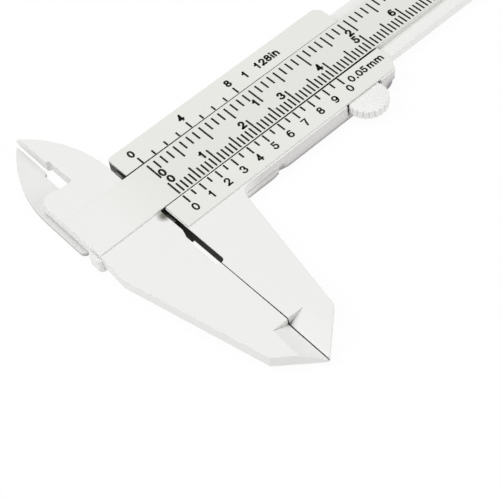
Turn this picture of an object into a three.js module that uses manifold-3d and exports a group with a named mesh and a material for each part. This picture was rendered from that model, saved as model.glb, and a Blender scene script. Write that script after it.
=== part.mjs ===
// Depth and step caliper: a moulded plastic vernier caliper, closed and lying on its back, in millimetres.
// X runs along the beam to its tail, Y across it towards the inside jaws, and Z out of the scale face.
// The origin is on the resting plane, under the zero line of the main scale and midway across the rib.

import * as THREE from 'three';
import { ConvexGeometry } from 'three/addons/geometries/ConvexGeometry.js';
import { mergeGeometries, mergeVertices } from 'three/addons/utils/BufferGeometryUtils.js';
import Module from 'manifold-3d';

const wasm = await Module();
wasm.setup();

// Heights, up from the resting plane
const coverThickness = 0.95;
const coverPlay = 0.15;
const rimHeight = 0.6;
const seamPlay = 0.05;
const beamThickness = 2.9;
const ribHeight = 1.1;
const jawStep = 0.3;
const barPlay = 0.1;

// Beam and its rail
const measuringRange = 150;
const zeroOffset = 4.95;
const ribWidth = 10.4;
const lowerFlange = 3.2;
const upperFlange = 3.1;
const tailLength = 8.2;
const tailChamfer = 1.2;

// Head and outer jaws
const headLength = 13.95;
const jawReach = 39.6;
const shoulderReach = 33.2;
const shoulderWidth = 7.5;
const fixedRootWidth = 14.4;
const fixedRootDrop = 3.4;
const movingRootWidth = 13.45;
const movingRootRadius = 2.2;
const jawGap = 0.12;

// Relief slot between the roots of the outer jaws
const reliefLength = 13.05;
const reliefDepth = 0.88;
const reliefRadius = 0.75;
const reliefStart = 2.8;
const reliefTaper = 2.7;

// Bevels that thin the tips of the outer jaws
const bevelStart = 29.8;
const bevelWidth = 3.3;
const bevelEndWidth = 4.1;
const bevelDepth = 1.6;
const bevelEndDepth = 1.95;

// Inside jaws
const insideOffset = 7.65;
const insideGap = 0.45;
const fixedInsideReach = 19;
const movingInsideReach = 20.2;
const fixedInsideWidth = 7.5;
const movingInsideWidth = 7.3;
const fixedBelly = 11.6;
const movingBelly = 12;
const insideReliefTop = 11;
const insideReliefBottom = 3.9;
const fixedInsideRelief = 0.65;
const movingInsideRelief = 0.7;
const insideReliefSlope = 0.4;
const insideTipWidth = 0.2;
const noseReach = 1.8;
const noseLength = 1.6;
const noseDrop = 1.75;
const fixedInsideRootRise = 1;
const movingInsideRootRise = 2;
const headTopRise = 4.5;
const headTopChamfer = 1.3;
const headTopNotch = 2.2;

// Slide
const slideLead = 0.85;
const lowerLead = 1.05;
const slideLength = 54.1;
const upperBarGap = 0.12;
const lowerBarGap = 0.16;
const lowerBarGapEnd = 0.4;
const edgePlay = 0.1;
const lowerWall = 3.5;
const upperWall = 2.75;
const ledgeWidth = 0.4;
const lowerCorner = 2.4;
const lowerCornerRun = 1.4;
const upperCorner = 1.3;
const upperLeadCorner = 0.4;
const trayCorner = 4;
const trayLip = 0.22;
const trayLipLength = 7.6;
const trayLipEnd = 1.4;
const scoopLength = 2.4;
const scoopDepth = 0.6;
const scoopHeight = 2.2;

// Arm of the back cover, behind the head
const armLowerEdge = -0.9;
const armUpperDrop = 0.6;
const armLead = 0.35;
const armRadius = 1.2;
const coverSlotDrop = 0.4;

// Foot under the head
const footLength = 3.6;
const footWidth = 1.7;
const footOverhang = 0.9;
const footPlace = -3.95;
const footTopDrop = 1;

// Thumb wheel and its axle
const wheelRadius = 4.2;
const wheelThickness = 1.9;
const wheelPlay = 0.05;
const wheelSetback = 9.95;
const wheelHeadroom = 0.1;
const roofThickness = 0.45;
const pocketPlay = 0.35;
const ridgeCount = 23;
const ridgePhaseShare = 0.77;
const ridgeShares = [0, 0.36, 0.7, 0.77, 0.93];
const ridgeDepth = 0.25;
const rimChamfer = 0.25;
const hubRadius = 1.8;
const hubPlay = 0.1;
const axleRadius = 0.8;
const axlePlay = 0.06;
const pinSink = 0.08;
const wheelSkin = 0.6;

// Pressure spring in the upper half
const springPocketLength = 26;
const springPocketDepth = 0.9;
const springEndPlay = 1;
const springThickness = 0.2;
const springPlay = 0.06;

// Depth rod, its groove and its rivet
const rodWidth = 3.8;
const rodThickness = 1.3;
const rodSidePlay = 0.2;
const rodPlay = 0.05;
const rodInset = 8.5;
const rodTip = 1.6;
const grooveLead = 2;
const rivetRadius = 0.7;
const rivetInset = 3;
const rivetDepth = 0.9;

// Screws
const screwRadius = 0.6;
const screwHeadRadius = 1.15;
const screwHeadHeight = 0.6;
const screwSink = 0.08;
const screwPlay = 0.08;
const screwDepth = 2.7;
const stopScrewDepth = 1.7;
const recessWidth = 0.3;
const recessLength = 1.3;
const recessDepth = 0.3;
const lowerScrewLead = 8;
const lowerScrewWall = 5.7;
const upperScrewLead = 5;

// Stop plate at the tail
const stopLength = 7;
const stopInset = 1.1;
const stopRadius = 1.5;

// Shared by all cuts and curves
const overrun = 1;
const curveSteps = 12;
const cornerSteps = 6;
const roundSteps = 32;

// Heights and places that follow from the sizes
const beamBack = coverThickness + coverPlay;
const trayTop = coverThickness + rimHeight;
const wallBottom = trayTop + seamPlay;
const scaleFace = beamBack + beamThickness;
const jawFace = scaleFace - jawStep;
const flangeTop = scaleFace - ribHeight;
const barUnderside = flangeTop + barPlay;

const ribHalf = ribWidth / 2;
const lowerEdge = -ribHalf - lowerFlange;
const upperEdge = ribHalf + upperFlange;
const measuringX = -zeroOffset;
const headX = measuringX - headLength;
const slideX = measuringX + slideLead;
const lowerX = measuringX + lowerLead;
const slideEndX = slideX + slideLength;
const tailX = slideEndX + measuringRange + tailLength;

const lowerOuter = lowerEdge - edgePlay - lowerWall;
const lowerFaceEdge = lowerOuter + ledgeWidth;
const lipX = measuringX + movingRootWidth + trayLipLength;
const upperOuter = upperEdge + edgePlay + upperWall;
const tipY = lowerEdge - jawReach;
const shoulderY = lowerEdge - shoulderReach;
const reliefEndY = lowerEdge - reliefLength;
const bevelY = lowerEdge - bevelStart;

const insideX = measuringX - insideOffset;
const fixedInsideX = insideX + insideGap / 2;
const movingInsideX = insideX - insideGap / 2;
const fixedTipY = upperEdge + fixedInsideReach;
const movingTipY = upperEdge + movingInsideReach;
const insideReliefTopY = upperEdge + insideReliefTop;
const insideReliefBottomY = upperEdge + insideReliefBottom;

const wheelX = slideEndX - wheelSetback;
const wheelY = lowerEdge - wheelPlay - wheelRadius;
const wheelTop = scaleFace - roofThickness - wheelHeadroom;
const wheelBottom = wheelTop - wheelThickness;

const grooveHalf = rodWidth / 2 + rodSidePlay;
const rodX = slideEndX - rodInset;
const rodBottom = beamBack + rodPlay;
const rodTop = rodBottom + rodThickness;
const rivetX = rodX + rivetInset;
const stopX = tailX - stopLength;
const stopScrewY = (grooveHalf + upperEdge - stopInset) / 2;
const stopScrewX = stopX + stopLength / 2;

const pocketRadius = wheelRadius + pocketPlay;
const lowerScrewY = lowerEdge - edgePlay - lowerWall / 2;
const lowerScrewX = wheelX - pocketRadius - lowerScrewWall - screwHeadRadius;
const upperScrewY = upperEdge + edgePlay + upperWall / 2;
const coverScrews = {
  cover_screw_lower_left: [lowerX + lowerScrewLead, lowerScrewY],
  cover_screw_lower_right: [lowerScrewX, lowerScrewY],
  cover_screw_upper_left: [slideX + upperScrewLead, upperScrewY],
  cover_screw_upper_right: [slideEndX - upperScrewLead, upperScrewY],
};
const stopScrews = {
  end_stop_screw_lower: [stopScrewX, -stopScrewY],
  end_stop_screw_upper: [stopScrewX, stopScrewY],
};

// Finishes
const whitePlastic = { color: 0xf0f0ef, roughness: 0.42, metalness: 0 };
const coverPlastic = { color: 0xebebea, roughness: 0.45, metalness: 0 };
const wheelPlastic = { color: 0xf2f2f1, roughness: 0.4, metalness: 0 };
const steel = { color: 0xb9bcc0, roughness: 0.3, metalness: 1 };

// A closed outline from corners [x, y] or [x, y, radius], where a radius rounds its corner with an arc.
function outline(corners) {
  const points = corners.flatMap(([x, y, radius = 0], index) => {
    const corner = new THREE.Vector2(x, y);
    if (radius === 0) return [corner];
    const before = corners[(index + corners.length - 1) % corners.length];
    const after = corners[(index + 1) % corners.length];
    const toBefore = new THREE.Vector2(before[0], before[1]).sub(corner).normalize();
    const toAfter = new THREE.Vector2(after[0], after[1]).sub(corner).normalize();
    const halfAngle = Math.acos(toBefore.dot(toAfter)) / 2;
    const bisector = toBefore.clone().add(toAfter).normalize();
    const centre = corner.clone().addScaledVector(bisector, radius / Math.sin(halfAngle));
    const setback = radius / Math.tan(halfAngle);
    const start = corner.clone().addScaledVector(toBefore, setback).sub(centre).angle();
    const end = corner.clone().addScaledVector(toAfter, setback).sub(centre).angle();
    const clockwise = toBefore.cross(toAfter) > 0;
    const arc = new THREE.EllipseCurve(centre.x, centre.y, radius, radius, start, end, clockwise);
    return arc.getPoints(cornerSteps);
  });
  return new THREE.Shape(points);
}

// Points of a curve that leaves the root along Y, up to the belly, and bends over to the tip.
function ogive(root, bellyY, tip) {
  const curve = new THREE.QuadraticBezierCurve(
    new THREE.Vector2(root[0], root[1]),
    new THREE.Vector2(root[0], bellyY),
    new THREE.Vector2(tip[0], tip[1]),
  );
  return curve.getPoints(curveSteps).map((point) => [point.x, point.y]);
}

function solidOf(geometry) {
  const bare = geometry.clone();
  bare.deleteAttribute('normal');
  if (bare.hasAttribute('uv')) bare.deleteAttribute('uv');
  const merged = mergeVertices(bare);
  return new wasm.Manifold(new wasm.Mesh({
    numProp: 3,
    vertProperties: new Float32Array(merged.attributes.position.array),
    triVerts: new Uint32Array(merged.index.array),
  }));
}

function meshOf(name, solid, finish) {
  const { vertProperties, triVerts } = solid.getMesh();
  const geometry = new THREE.BufferGeometry();
  geometry.setAttribute('position', new THREE.BufferAttribute(new Float32Array(vertProperties), 3));
  geometry.setIndex(new THREE.BufferAttribute(new Uint32Array(triVerts), 1));
  geometry.computeVertexNormals();
  const mesh = new THREE.Mesh(geometry, new THREE.MeshStandardMaterial(finish));
  mesh.name = name;
  return mesh;
}

// An upright prism over an outline, between two heights.
function prism(shape, low, high) {
  const geometry = new THREE.ExtrudeGeometry(shape, {
    depth: high - low,
    bevelEnabled: false,
  });
  return solidOf(geometry.translate(0, 0, low));
}

function block(x0, x1, y0, y1, z0, z1) {
  const geometry = new THREE.BoxGeometry(x1 - x0, y1 - y0, z1 - z0);
  return solidOf(geometry.translate((x0 + x1) / 2, (y0 + y1) / 2, (z0 + z1) / 2));
}

function post(x, y, radius, low, high) {
  const geometry = new THREE.CylinderGeometry(radius, radius, high - low, roundSteps);
  geometry.rotateX(Math.PI / 2);
  return solidOf(geometry.translate(x, y, (low + high) / 2));
}

// A revolved solid on an upright axis, from a profile of [radius, height] that starts and ends on the axis.
function turned(x, y, profile) {
  const geometry = new THREE.LatheGeometry(profile.map(([r, z]) => new THREE.Vector2(r, z)), roundSteps);
  geometry.rotateX(Math.PI / 2);
  return solidOf(geometry.translate(x, y, 0));
}

// The wedge that a bevel takes off a jaw's tip: side is -1 on the fixed jaw and 1 on the moving jaw.
function bevelWedge(side) {
  const faceX = measuringX + (side * jawGap) / 2;
  const points = [];
  const ends = [
    [bevelY, bevelWidth, bevelDepth],
    [tipY - overrun, bevelEndWidth, bevelEndDepth],
  ];
  for (const [y, width, depth] of ends) {
    const slope = depth / width;
    points.push(new THREE.Vector3(faceX + side * (width + overrun), y, jawFace + overrun * slope));
    points.push(new THREE.Vector3(faceX - side * overrun, y, jawFace - depth - overrun * slope));
    points.push(new THREE.Vector3(faceX - side * overrun, y, jawFace + overrun * slope));
  }
  return solidOf(new ConvexGeometry(points));
}

// The nose of the fixed inside jaw: it slopes down from the jaw's face to a thin tip.
function buildNose() {
  const points = [];
  for (const z of [beamBack, jawFace]) {
    const rootY = fixedTipY - noseLength;
    points.push(new THREE.Vector3(fixedInsideX, rootY, z));
    points.push(new THREE.Vector3(fixedInsideX + insideTipWidth + noseLength / 2, rootY, z));
    points.push(new THREE.Vector3(fixedInsideX + insideTipWidth, fixedTipY, z));
  }
  for (const z of [beamBack, jawFace - noseDrop]) {
    points.push(new THREE.Vector3(fixedInsideX, fixedTipY + noseReach, z));
    points.push(new THREE.Vector3(fixedInsideX + insideTipWidth, fixedTipY + noseReach, z));
  }
  points.push(new THREE.Vector3(fixedInsideX, fixedTipY, jawFace));
  return solidOf(new ConvexGeometry(points));
}

// The beam: one moulding with rail, head plate, fixed outer jaw, fixed inside jaw and foot.
function buildBeam() {
  const faceX = measuringX - jawGap / 2;
  const headTopY = upperEdge + headTopRise;
  const rootY = lowerEdge - fixedRootDrop;
  const insideRoot = [insideX + fixedInsideWidth, upperEdge + fixedInsideRootRise];
  const insideTip = [fixedInsideX + insideTipWidth, fixedTipY];
  const notchX = fixedInsideX - headTopNotch;
  const reliefX = measuringX - reliefDepth;
  const headPlate = prism(outline([
    [measuringX, -ribHalf],
    [insideRoot[0], ribHalf],
    ...ogive(insideRoot, upperEdge + fixedBelly, insideTip),
    [fixedInsideX, fixedTipY],
    [fixedInsideX, insideReliefTopY],
    [fixedInsideX + fixedInsideRelief, insideReliefTopY - insideReliefSlope],
    [fixedInsideX + fixedInsideRelief, insideReliefBottomY, insideReliefSlope],
    [notchX, insideReliefBottomY, insideReliefSlope],
    [notchX - headTopRise + insideReliefBottom, headTopY],
    [headX + headTopChamfer, headTopY],
    [headX, headTopY - headTopChamfer],
    [headX, -ribHalf],
    [measuringX - fixedRootWidth, rootY],
    [measuringX - shoulderWidth, shoulderY],
    [faceX, tipY],
    [faceX, reliefEndY],
    [reliefX, reliefEndY, reliefRadius],
    [reliefX, lowerEdge - reliefStart - reliefTaper],
    [measuringX, lowerEdge - reliefStart],
  ]), beamBack, jawFace);
  const rail = block(headX + headLength / 2, tailX, lowerEdge, upperEdge, beamBack, flangeTop);
  const rib = block(headX, tailX, -ribHalf, ribHalf, beamBack, scaleFace);
  const footX = headX - footOverhang + footWidth / 2;
  const foot = prism(outline([
    [footX - footWidth / 2, footPlace - footLength / 2, footWidth / 2],
    [footX + footWidth / 2, footPlace - footLength / 2, footWidth / 2],
    [footX + footWidth / 2, footPlace + footLength / 2, footWidth / 2],
    [footX - footWidth / 2, footPlace + footLength / 2, footWidth / 2],
  ]), 0, scaleFace - footTopDrop);
  const grooveX = rodX - grooveLead;
  const grooveTop = rodTop + rodPlay;
  let solid = headPlate.add(buildNose()).add(rail).add(rib).add(foot);
  solid = solid.subtract(bevelWedge(-1));
  solid = solid.subtract(block(grooveX, tailX + overrun, -grooveHalf, grooveHalf, 0, grooveTop));
  for (const side of [-1, 1]) {
    const edge = side < 0 ? lowerEdge : upperEdge;
    solid = solid.subtract(prism(outline([
      [tailX - tailChamfer, edge],
      [tailX + overrun, edge - side * (tailChamfer + overrun)],
      [tailX + overrun, edge + side * overrun],
      [tailX - tailChamfer, edge + side * overrun],
    ]), 0, scaleFace + overrun));
  }
  for (const [x, y] of Object.values(stopScrews)) {
    solid = solid.subtract(post(x, y, screwRadius + screwPlay, 0, screwSink + stopScrewDepth + screwPlay));
  }
  return meshOf('beam', solid, whitePlastic);
}

// The scoop in the lower wall: steep beside the end of the tray's lip, and running out towards the wheel.
function scoopCut() {
  const startX = lipX + trayLipEnd;
  return prism(outline([
    [startX, lowerOuter + scoopDepth],
    [startX, lowerOuter - overrun],
    [startX + scoopLength, lowerOuter - overrun],
    [startX + scoopLength, lowerOuter],
  ]), -overrun, scoopHeight);
}

// The lower half of the slide: vernier bar, side wall and moving outer jaw.
function buildLowerHalf() {
  const faceX = measuringX + jawGap / 2;
  const reliefX = measuringX + reliefDepth;
  const barTop = -ribHalf - lowerBarGap;
  const barTopEnd = -ribHalf - lowerBarGapEnd;
  const wallTop = lowerEdge - edgePlay;
  const bar = prism(outline([
    [lowerX, barTop],
    [lowerX, lowerFaceEdge],
    [slideEndX - lowerCornerRun, lowerFaceEdge],
    [slideEndX, lowerFaceEdge + lowerCorner],
    [slideEndX, barTopEnd],
  ]), jawFace - seamPlay, scaleFace);
  const body = prism(outline([
    [lowerX, barTop],
    [reliefX, barTop],
    [reliefX, reliefEndY, reliefRadius],
    [faceX, reliefEndY],
    [faceX, tipY],
    [measuringX + shoulderWidth, shoulderY],
    [measuringX + movingRootWidth, lowerOuter, movingRootRadius],
    [slideEndX - lowerCornerRun - ledgeWidth, lowerOuter],
    [slideEndX - lowerCornerRun, lowerFaceEdge],
    [slideEndX, lowerFaceEdge + lowerCorner],
    [slideEndX, barTopEnd],
  ]), beamBack, jawFace);
  const channel = block(lowerX - overrun, slideEndX + overrun, wallTop, 0, 0, barUnderside);
  const traySeat = block(
    lowerX - overrun, slideEndX + overrun, lowerOuter - trayLip - seamPlay, 0, 0, wallBottom,
  );
  const pocket = post(wheelX, wheelY, pocketRadius, 0, scaleFace - roofThickness);
  const window = block(
    wheelX - pocketRadius, wheelX + pocketRadius, wheelY - pocketRadius, lowerFaceEdge,
    0, scaleFace + overrun,
  );
  let solid = bar.add(body).subtract(bevelWedge(1));
  for (const cut of [channel, traySeat, pocket, window, scoopCut()]) solid = solid.subtract(cut);
  for (const name of ['cover_screw_lower_left', 'cover_screw_lower_right']) {
    const [x, y] = coverScrews[name];
    solid = solid.subtract(post(x, y, screwRadius + screwPlay, 0, screwSink + screwDepth + screwPlay));
  }
  return meshOf('slide_lower_half', solid, whitePlastic);
}

// The upper half of the slide: vernier bar and side wall, with the pocket of the pressure spring.
function buildUpperHalf() {
  const barBottom = ribHalf + upperBarGap;
  const body = prism(outline([
    [slideX, barBottom],
    [slideEndX, barBottom],
    [slideEndX, upperOuter - upperCorner],
    [slideEndX - upperCorner, upperOuter],
    [slideX + upperLeadCorner, upperOuter],
    [slideX, upperOuter - upperLeadCorner],
  ]), wallBottom, scaleFace);
  const wallY = upperEdge + edgePlay;
  const channel = block(slideX - overrun, slideEndX + overrun, 0, wallY, 0, barUnderside);
  const middleX = (slideX + slideEndX) / 2;
  const pocket = block(
    middleX - springPocketLength / 2, middleX + springPocketLength / 2,
    wallY - overrun, wallY + springPocketDepth, 0, barUnderside,
  );
  let solid = body.subtract(channel).subtract(pocket);
  for (const name of ['cover_screw_upper_left', 'cover_screw_upper_right']) {
    const [x, y] = coverScrews[name];
    solid = solid.subtract(post(x, y, screwRadius + screwPlay, 0, screwSink + screwDepth + screwPlay));
  }
  return meshOf('slide_upper_half', solid, whitePlastic);
}

// A screw with a countersunk head that faces down, and the hole that it needs.
function screwProfile(depth) {
  return [
    [0, screwSink],
    [screwHeadRadius, screwSink],
    [screwRadius, screwSink + screwHeadHeight],
    [screwRadius, screwSink + depth],
    [0, screwSink + depth],
  ];
}

function screwHole(x, y, depth) {
  return turned(x, y, [
    [0, -overrun],
    [screwHeadRadius + screwPlay, -overrun],
    [screwHeadRadius + screwPlay, screwSink],
    [screwRadius + screwPlay, screwSink + screwHeadHeight],
    [screwRadius + screwPlay, screwSink + depth + screwPlay],
    [0, screwSink + depth + screwPlay],
  ]);
}

function buildScrew(name, [x, y], depth) {
  const recess = block(
    x - recessLength / 2, x + recessLength / 2, y - recessWidth / 2, y + recessWidth / 2,
    0, screwSink + recessDepth,
  ).add(block(
    x - recessWidth / 2, x + recessWidth / 2, y - recessLength / 2, y + recessLength / 2,
    0, screwSink + recessDepth,
  ));
  return meshOf(name, turned(x, y, screwProfile(depth)).subtract(recess), steel);
}

// The back cover: a shallow tray under the slide, with an arm behind the head and the moving inside jaw.
function buildBackCover() {
  const root = [insideX - movingInsideWidth, upperEdge + movingInsideRootRise];
  const tip = [movingInsideX - insideTipWidth, movingTipY];
  const slotX = movingInsideX - movingInsideRelief;
  const slotY = insideReliefBottomY + coverSlotDrop;
  const armTopY = upperEdge - armUpperDrop;
  const tray = prism(outline([
    [slideX, lowerOuter - trayLip],
    [lipX, lowerOuter - trayLip],
    [lipX + trayLipEnd, lowerOuter],
    [slideEndX, lowerOuter, trayCorner],
    [slideEndX, upperOuter - upperCorner],
    [slideEndX - upperCorner, upperOuter],
    [slideX + upperLeadCorner, upperOuter],
    [slideX, upperOuter - upperLeadCorner],
  ]), 0, trayTop);
  const arm = prism(outline([
    [slideX + armLead, armTopY],
    [fixedInsideX + fixedInsideRelief, armTopY],
    [slotX, slotY - insideReliefBottom + armUpperDrop, insideReliefSlope],
    [slotX, insideReliefTopY - insideReliefSlope],
    [movingInsideX, insideReliefTopY],
    [movingInsideX, movingTipY],
    ...ogive(root, upperEdge + movingBelly, tip).reverse(),
    [root[0], armLowerEdge, armRadius],
    [slideX + armLead, armLowerEdge],
  ]), 0, coverThickness);
  const trough = block(
    slideX - overrun, slideEndX + overrun, lowerEdge - edgePlay, upperEdge + edgePlay,
    coverThickness, trayTop + overrun,
  );
  const pocket = post(wheelX, wheelY, pocketRadius, coverThickness, trayTop + overrun);
  let solid = tray.subtract(trough).subtract(pocket).subtract(scoopCut()).add(arm);
  for (const [x, y] of Object.values(coverScrews)) {
    solid = solid.subtract(screwHole(x, y, screwDepth));
  }
  solid = solid.subtract(post(rivetX, 0, rivetRadius + axlePlay, -overrun, coverThickness + overrun));
  solid = solid.subtract(post(wheelX, wheelY, axleRadius + axlePlay, -overrun, coverThickness + overrun));
  return meshOf('back_cover', solid, coverPlastic);
}

// The thumb wheel: ridged rim with chamfered edges, hub below and a blind bore for its axle.
function buildThumbWheel() {
  const profile = [
    [0, wheelBottom],
    [wheelRadius - rimChamfer, wheelBottom],
    [wheelRadius, wheelBottom + rimChamfer],
    [wheelRadius, wheelTop - rimChamfer],
    [wheelRadius - rimChamfer, wheelTop],
    [0, wheelTop],
  ];
  const crest = 1;
  const root = (wheelRadius - ridgeDepth) / wheelRadius;
  const scales = [crest, crest, crest, root, root];
  const spokes = [];
  for (let i = 0; i < ridgeCount; i += 1) {
    ridgeShares.forEach((share, j) => {
      const angle = ((i + share + ridgePhaseShare) / ridgeCount) * 2 * Math.PI;
      spokes.push(new THREE.Vector2(Math.cos(angle), Math.sin(angle)).multiplyScalar(scales[j]));
    });
  }
  const outlinePoints = profile.map(([radius, height]) => new THREE.Vector2(radius, height));
  const rim = new THREE.LatheGeometry(outlinePoints, spokes.length);
  const places = rim.attributes.position;
  for (let k = 0; k < places.count; k += 1) {
    const spoke = spokes[Math.floor(k / profile.length) % spokes.length];
    const [radius, height] = profile[k % profile.length];
    places.setXYZ(k, wheelX + radius * spoke.x, wheelY + radius * spoke.y, height);
  }
  const hub = post(wheelX, wheelY, hubRadius, coverThickness + hubPlay, wheelBottom + rimChamfer);
  const bore = post(wheelX, wheelY, axleRadius + axlePlay, 0, wheelTop - wheelSkin);
  return meshOf('thumb_wheel', solidOf(rim).add(hub).subtract(bore), wheelPlastic);
}

function buildWheelAxle() {
  const axle = post(wheelX, wheelY, axleRadius, pinSink, wheelTop - wheelSkin - hubPlay);
  return meshOf('wheel_axle', axle, steel);
}

// The pressure spring: a bowed leaf, with its ends in the pocket and its middle on the beam's edge.
function buildPressureSpring() {
  const endY = upperEdge + edgePlay + springPocketDepth - springPlay - springThickness;
  const middleY = upperEdge + springPlay;
  const middleX = (slideX + slideEndX) / 2;
  const halfLength = springPocketLength / 2 - springEndPlay;
  const inner = [];
  const outer = [];
  for (let i = 0; i <= curveSteps; i += 1) {
    const share = (2 * i) / curveSteps - 1;
    const x = middleX + share * halfLength;
    const y = middleY + (endY - middleY) * share * share;
    inner.push([x, y]);
    outer.push([x, y + springThickness]);
  }
  const leaf = prism(
    outline([...inner, ...outer.reverse()]), wallBottom + springPlay, barUnderside - springPlay,
  );
  return meshOf('pressure_spring', leaf, steel);
}

// The depth rod: a flat strip whose far end is stepped to reach into corners.
function buildDepthRod() {
  const rod = prism(outline([
    [rodX, -rodWidth / 2],
    [tailX - rodTip, -rodWidth / 2],
    [tailX, -rodWidth / 2 + rodTip],
    [tailX, rodWidth / 2],
    [rodX, rodWidth / 2],
  ]), rodBottom, rodTop);
  const hole = post(rivetX, 0, rivetRadius + axlePlay, 0, rodBottom + rivetDepth);
  return meshOf('depth_rod', rod.subtract(hole), coverPlastic);
}

function buildDepthRodRivet() {
  const rivet = post(rivetX, 0, rivetRadius, pinSink, rodBottom + rivetDepth - axlePlay);
  return meshOf('depth_rod_rivet', rivet, steel);
}

// The stop plate, screwed across the groove at the tail.
function buildEndStop() {
  const lowY = lowerEdge + stopInset;
  const highY = upperEdge - stopInset;
  let solid = prism(outline([
    [stopX, lowY, stopRadius],
    [tailX, lowY, stopRadius],
    [tailX, highY, stopRadius],
    [stopX, highY, stopRadius],
  ]), 0, beamBack - seamPlay);
  for (const [x, y] of Object.values(stopScrews)) {
    solid = solid.subtract(screwHole(x, y, stopScrewDepth));
  }
  return meshOf('end_stop', solid, coverPlastic);
}

const caliper = new THREE.Group();
caliper.add(buildBeam());

const slide = new THREE.Group();
slide.add(buildLowerHalf(), buildUpperHalf(), buildBackCover());
slide.add(buildPressureSpring(), buildDepthRod(), buildDepthRodRivet(), buildWheelAxle());
for (const [name, place] of Object.entries(coverScrews)) slide.add(buildScrew(name, place, screwDepth));
slide.add(buildThumbWheel());
caliper.add(slide);

caliper.add(buildEndStop());
for (const [name, place] of Object.entries(stopScrews)) caliper.add(buildScrew(name, place, stopScrewDepth));

export default caliper;
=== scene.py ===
import math

import bpy
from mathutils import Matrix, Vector


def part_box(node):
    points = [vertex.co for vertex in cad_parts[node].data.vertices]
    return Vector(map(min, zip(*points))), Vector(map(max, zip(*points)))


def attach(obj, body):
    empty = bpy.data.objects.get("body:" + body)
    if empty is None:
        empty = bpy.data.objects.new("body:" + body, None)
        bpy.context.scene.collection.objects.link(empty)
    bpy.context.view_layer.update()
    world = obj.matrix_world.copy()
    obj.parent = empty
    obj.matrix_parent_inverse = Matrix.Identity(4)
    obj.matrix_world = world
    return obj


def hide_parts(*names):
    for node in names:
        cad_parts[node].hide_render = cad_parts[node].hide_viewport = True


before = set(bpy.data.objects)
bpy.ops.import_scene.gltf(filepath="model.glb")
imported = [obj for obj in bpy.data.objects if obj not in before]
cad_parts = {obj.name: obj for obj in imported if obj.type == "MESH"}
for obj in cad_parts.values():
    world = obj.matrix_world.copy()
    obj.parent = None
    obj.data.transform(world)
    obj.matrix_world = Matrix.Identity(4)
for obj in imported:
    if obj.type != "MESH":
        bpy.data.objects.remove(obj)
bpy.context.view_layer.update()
MM = 0.001


# Beam: rail, raised rib, head plate, fixed outer jaw and fixed inside jaw are one injection moulding of
# white plastic. The mould leaves every edge a little round and the skin faintly satin, with a fine grain.
# Shade is painted into the slot between the outer jaws, along the top of the rib's side and as a dark spot
# on the head face beside the slide.
BEAM_EDGE = 0.11 * MM
BACK_EDGES = 1.2 * MM
BACK_SHARE = 0.25
RIB_EDGE = 5.15 * MM
RIB_SHARE = 0.4
SHARP_ANGLE = math.radians(35)
CREASE_ANGLE = math.radians(2.5)
LEVEL_ENOUGH = 0.85
WELD = 0.001 * MM
SAME_PLANE = math.radians(0.3)
MOULDED_TONE = (0.84, 0.84, 0.822)
MOULDED_SHADE = (0.815, 0.815, 0.798)
MOULDED_ROUGHNESS = 0.42
CLOUD_SCALE = 70
CLOUD_SHARE = 0.7
GRAIN_SCALE = 3600
GRAIN_SHARE = 0.8
GRAIN_DEPTH = 0.012 * MM
GRAIN_STRENGTH = 0.35
RUBBING_SCALE = (60, 1500, 1500)
SATIN_DROP = 0.08
SATIN_CLOUDS = 0.1
SATIN_RUBBING = 0.08
PLASTIC_IOR = 1.49
PLASTIC_SHEEN = 0.4
SOFT_RIM = 0.1 * MM
PRINTED_FROM = 3.75 * MM
PRINTED_FACE = 3.95 * MM
BEAM_PRINTED_TINT = (0.909, 0.918, 0.889)
BEAM_HANDLED = (-12 * MM, 2 * MM)
# Painted shade: a dark spot on the head face beside the slide's left end.
HEAD_SHADE_SPOT = (Vector((-5.15, -6.4, 3.7)) * MM, 0.3 * MM, 1.8 * MM, (0.2, 0.19, 0.16))
# Painted shade in slots, gaps and crevices darkens towards this colour, the less open sky they see.
CREVICE_SHADE_TONE = (0.02, 0.019, 0.017)
SKY_SAMPLES = 32
SLOT_REACH = 3 * MM
GAP_REACH = 0.6 * MM
SLOT_SKY = (0.32, 0.46)
GAP_SKY = (0.34, 0.46)
LEVEL_SHADE = 0.13
# Painted shade: the walls of the slot between the outer jaws are painted dark, up to an X.
SLOT_SHADE_ACROSS = (-25.9 * MM, -5.5 * MM)
SLOT_SHADE_LEFT = -8 * MM
SLOT_SHADE_TOP = 3.5 * MM
SLOT_SHADE_SPREAD = (-10 * MM, -22 * MM)
DEEP_SLOT_SHADE = (0.002, 0.002, 0.001)
SLOT_SHADE_TONE = (0.045, 0.043, 0.032)
SLOT_SHADE_ROUGHNESS = 0.5
BEAM_SLOT_SHADE = (-3.4 * MM, 0.6)
# Painted shade: a dark line along the top of the rib's side, where it faces the gap to the bars.
GAP_RIM = 0.05 * MM
GAP_TOP = (3.3 * MM, 3.5 * MM)
GAP_SHADE_SHARE = 0.85
RIB_SIDE = ((-4.9 * MM, 49.1 * MM), (-5.4 * MM, -5.05 * MM))


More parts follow.
